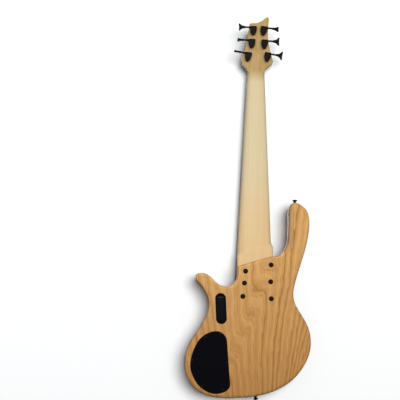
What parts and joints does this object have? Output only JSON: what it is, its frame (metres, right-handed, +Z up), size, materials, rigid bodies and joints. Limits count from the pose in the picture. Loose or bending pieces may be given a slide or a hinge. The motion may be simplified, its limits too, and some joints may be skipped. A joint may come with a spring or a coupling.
{
  "type": "electric bass guitar",
  "caption": "Double-cutaway solid-body electric bass guitar with bolt-on neck, tilted headstock, active electronics, soapbar pickups and turning tuners, knobs and saddles.",
  "frame": {"origin": "on the body's back face, on the neck's centre line, level with the saddle line", "axes": "+Z up the neck towards the headstock, +Y out of the back, +X towards the thin strings"},
  "size_m": [0.3536, 0.0637, 1.1254],
  "materials": {
    "ash_body": "oiled ash, satin",
    "maple_neck": "satin maple",
    "rosewood_board": "oiled rosewood",
    "nickel_frets": "polished nickel silver",
    "pearl_dots": "pearl",
    "bone_nut": "polished bone",
    "plain_steel": "plated steel",
    "string_steel": "round-wound nickel steel",
    "brass_balls": "plain brass",
    "black_plastic": "satin black",
    "pickup_plastic": "black, semi-gloss",
    "black_metal": "black plated",
    "black_chrome": "gloss black plated",
    "circuit_board": "solder mask",
    "battery_case": "plain printed steel"
  },
  "bodies": {
    "bass": {"body": "ash_body", "neck": "maple_neck", "fretboard": "rosewood_board", "frets": "nickel_frets", "position_dots": "pearl_dots", "nut": "bone_nut", "truss_rod": "plain_steel", "truss_rod_cover": "black_plastic", "truss_rod_cover_screws": "black_metal", "neck_bolt_ferrules": "black_metal", "neck_bolts": "black_metal", "strap_buttons": "black_metal", "strap_button_screws": "black_metal", "control_cover": "black_plastic", "control_cover_screws": "black_metal", "potentiometers": "plain_steel", "potentiometer_nuts": "plain_steel", "preamp_board": "circuit_board", "output_jack": "black_metal", "battery_box": "black_plastic", "battery": "battery_case", "bridge_plate": "black_metal", "bridge_screws": "black_metal", "neck_pickup": "pickup_plastic", "bridge_pickup": "pickup_plastic", "pickup_screws": "black_metal", "tuner_housings": "black_chrome", "tuner_bushings": "black_chrome", "string_ball_ends": "brass_balls", "strings": "string_steel"},
    "battery_lid": {"battery_lid": "black_plastic"},
    "tuner_key_1": {"tuner_key_1": "black_chrome"},
    "tuner_post_1": {"tuner_post_1": "black_chrome"},
    "tuner_key_2": {"tuner_key_2": "black_chrome"},
    "tuner_post_2": {"tuner_post_2": "black_chrome"},
    "tuner_key_3": {"tuner_key_3": "black_chrome"},
    "tuner_post_3": {"tuner_post_3": "black_chrome"},
    "tuner_key_4": {"tuner_key_4": "black_chrome"},
    "tuner_post_4": {"tuner_post_4": "black_chrome"},
    "tuner_key_5": {"tuner_key_5": "black_chrome"},
    "tuner_post_5": {"tuner_post_5": "black_chrome"},
    "tuner_key_6": {"tuner_key_6": "black_chrome"},
    "tuner_post_6": {"tuner_post_6": "black_chrome"},
    "saddle_1": {"saddle_1": "black_metal"},
    "intonation_screw_1": {"intonation_screw_1": "plain_steel"},
    "saddle_2": {"saddle_2": "black_metal"},
    "intonation_screw_2": {"intonation_screw_2": "plain_steel"},
    "saddle_3": {"saddle_3": "black_metal"},
    "intonation_screw_3": {"intonation_screw_3": "plain_steel"},
    "saddle_4": {"saddle_4": "black_metal"},
    "intonation_screw_4": {"intonation_screw_4": "plain_steel"},
    "saddle_5": {"saddle_5": "black_metal"},
    "intonation_screw_5": {"intonation_screw_5": "plain_steel"},
    "saddle_6": {"saddle_6": "black_metal"},
    "intonation_screw_6": {"intonation_screw_6": "plain_steel"},
    "knob_1": {"knob_1": "black_metal"},
    "knob_2": {"knob_2": "black_metal"},
    "knob_3": {"knob_3": "black_metal"},
    "knob_4": {"knob_4": "black_metal"}
  },
  "joints": [
    {"name": "tuner_key_1_turn", "type": "hinge", "parent": "bass", "child": "tuner_key_1", "pos_m": [0.02391, -0.02113, 0.93115], "axis": [0.9903, 0.0218, 0.1375], "continuous": true},
    {"name": "tuner_post_1_turn", "type": "hinge", "parent": "bass", "child": "tuner_post_1", "pos_m": [0.02508, -0.02678, 0.92363], "axis": [0, 0.9877, -0.1564], "continuous": true},
    {"name": "tuner_key_2_turn", "type": "hinge", "parent": "bass", "child": "tuner_key_2", "pos_m": [0.01491, -0.01486, 0.97074], "axis": [1, 0, 0], "continuous": true},
    {"name": "tuner_post_2_turn", "type": "hinge", "parent": "bass", "child": "tuner_post_2", "pos_m": [0.01491, -0.02052, 0.96313], "axis": [0, 0.9877, -0.1564], "continuous": true},
    {"name": "tuner_key_3_turn", "type": "hinge", "parent": "bass", "child": "tuner_key_3", "pos_m": [0.01121, -0.0088, 1.00905], "axis": [1, 0, 0], "continuous": true},
    {"name": "tuner_post_3_turn", "type": "hinge", "parent": "bass", "child": "tuner_post_3", "pos_m": [0.01121, -0.01446, 1.00144], "axis": [0, 0.9877, -0.1564], "continuous": true},
    {"name": "tuner_key_4_turn", "type": "hinge", "parent": "bass", "child": "tuner_key_4", "pos_m": [-0.0209, -0.0088, 1.00899], "axis": [-0.9936, -0.0177, -0.1118], "continuous": true},
    {"name": "tuner_post_4_turn", "type": "hinge", "parent": "bass", "child": "tuner_post_4", "pos_m": [-0.01995, -0.01446, 1.00144], "axis": [0, 0.9877, -0.1564], "continuous": true},
    {"name": "tuner_key_5_turn", "type": "hinge", "parent": "bass", "child": "tuner_key_5", "pos_m": [-0.02355, -0.01505, 0.96954], "axis": [-0.999, -0.0068, -0.0431], "continuous": true},
    {"name": "tuner_post_5_turn", "type": "hinge", "parent": "bass", "child": "tuner_post_5", "pos_m": [-0.02318, -0.02071, 0.96193], "axis": [0, 0.9877, -0.1564], "continuous": true},
    {"name": "tuner_key_6_turn", "type": "hinge", "parent": "bass", "child": "tuner_key_6", "pos_m": [-0.03423, -0.02108, 0.93146], "axis": [-0.9903, -0.0218, -0.1375], "continuous": true},
    {"name": "tuner_post_6_turn", "type": "hinge", "parent": "bass", "child": "tuner_post_6", "pos_m": [-0.03306, -0.02673, 0.92393], "axis": [0, 0.9877, -0.1564], "continuous": true},
    {"name": "intonation_screw_1_turn", "type": "hinge", "parent": "bass", "child": "intonation_screw_1", "pos_m": [0.05125, -0.0476, -0.04], "axis": [0, 0, 1], "range_deg": [-4200, 860]},
    {"name": "saddle_1_slide", "type": "slide", "parent": "bass", "child": "saddle_1", "axis": [0, 0, 1], "range_m": [-0.0015, 0.008]},
    {"name": "intonation_screw_2_turn", "type": "hinge", "parent": "bass", "child": "intonation_screw_2", "pos_m": [0.03075, -0.0476, -0.04], "axis": [0, 0, 1], "range_deg": [-4200, 860]},
    {"name": "saddle_2_slide", "type": "slide", "parent": "bass", "child": "saddle_2", "axis": [0, 0, 1], "range_m": [-0.0015, 0.008]},
    {"name": "intonation_screw_3_turn", "type": "hinge", "parent": "bass", "child": "intonation_screw_3", "pos_m": [0.01025, -0.0476, -0.04], "axis": [0, 0, 1], "range_deg": [-4200, 860]},
    {"name": "saddle_3_slide", "type": "slide", "parent": "bass", "child": "saddle_3", "axis": [0, 0, 1], "range_m": [-0.0015, 0.008]},
    {"name": "intonation_screw_4_turn", "type": "hinge", "parent": "bass", "child": "intonation_screw_4", "pos_m": [-0.01025, -0.0476, -0.04], "axis": [0, 0, 1], "range_deg": [-4200, 860]},
    {"name": "saddle_4_slide", "type": "slide", "parent": "bass", "child": "saddle_4", "axis": [0, 0, 1], "range_m": [-0.0015, 0.008]},
    {"name": "intonation_screw_5_turn", "type": "hinge", "parent": "bass", "child": "intonation_screw_5", "pos_m": [-0.03075, -0.0476, -0.04], "axis": [0, 0, 1], "range_deg": [-4200, 860]},
    {"name": "saddle_5_slide", "type": "slide", "parent": "bass", "child": "saddle_5", "axis": [0, 0, 1], "range_m": [-0.0015, 0.008]},
    {"name": "intonation_screw_6_turn", "type": "hinge", "parent": "bass", "child": "intonation_screw_6", "pos_m": [-0.05125, -0.0476, -0.04], "axis": [0, 0, 1], "range_deg": [-4200, 860]},
    {"name": "saddle_6_slide", "type": "slide", "parent": "bass", "child": "saddle_6", "axis": [0, 0, 1], "range_m": [-0.0015, 0.008]},
    {"name": "knob_1_turn", "type": "hinge", "parent": "bass", "child": "knob_1", "pos_m": [0.09862, -0.042, 0.07019], "axis": [0, -1, 0], "range_deg": [-150, 150]},
    {"name": "knob_2_turn", "type": "hinge", "parent": "bass", "child": "knob_2", "pos_m": [0.1198, -0.042, 0.03948], "axis": [0, -1, 0], "range_deg": [-150, 150]},
    {"name": "knob_3_turn", "type": "hinge", "parent": "bass", "child": "knob_3", "pos_m": [0.12538, -0.042, 0.00364], "axis": [0, -1, 0], "range_deg": [-150, 150]},
    {"name": "knob_4_turn", "type": "hinge", "parent": "bass", "child": "knob_4", "pos_m": [0.112, -0.042, -0.03048], "axis": [0, -1, 0], "range_deg": [-150, 150]},
    {"name": "battery_lid_hinge", "type": "hinge", "parent": "bass", "child": "battery_lid", "pos_m": [0.09218, -0.0014, 0.13763], "axis": [-0.9983, 0, 0.0576], "range_deg": [0, 100]}
  ],
  "couplings": [
    {"joint": "tuner_post_1_turn", "follows": "tuner_key_1_turn", "ratio": 0.05},
    {"joint": "tuner_post_2_turn", "follows": "tuner_key_2_turn", "ratio": 0.05},
    {"joint": "tuner_post_3_turn", "follows": "tuner_key_3_turn", "ratio": 0.05},
    {"joint": "tuner_post_4_turn", "follows": "tuner_key_4_turn", "ratio": -0.05},
    {"joint": "tuner_post_5_turn", "follows": "tuner_key_5_turn", "ratio": -0.05},
    {"joint": "tuner_post_6_turn", "follows": "tuner_key_6_turn", "ratio": -0.05},
    {"joint": "intonation_screw_1_turn", "follows": "saddle_1_slide", "rad_per_m": -8976},
    {"joint": "intonation_screw_2_turn", "follows": "saddle_2_slide", "rad_per_m": -8976},
    {"joint": "intonation_screw_3_turn", "follows": "saddle_3_slide", "rad_per_m": -8976},
    {"joint": "intonation_screw_4_turn", "follows": "saddle_4_slide", "rad_per_m": -8976},
    {"joint": "intonation_screw_5_turn", "follows": "saddle_5_slide", "rad_per_m": -8976},
    {"joint": "intonation_screw_6_turn", "follows": "saddle_6_slide", "rad_per_m": -8976}
  ]
}
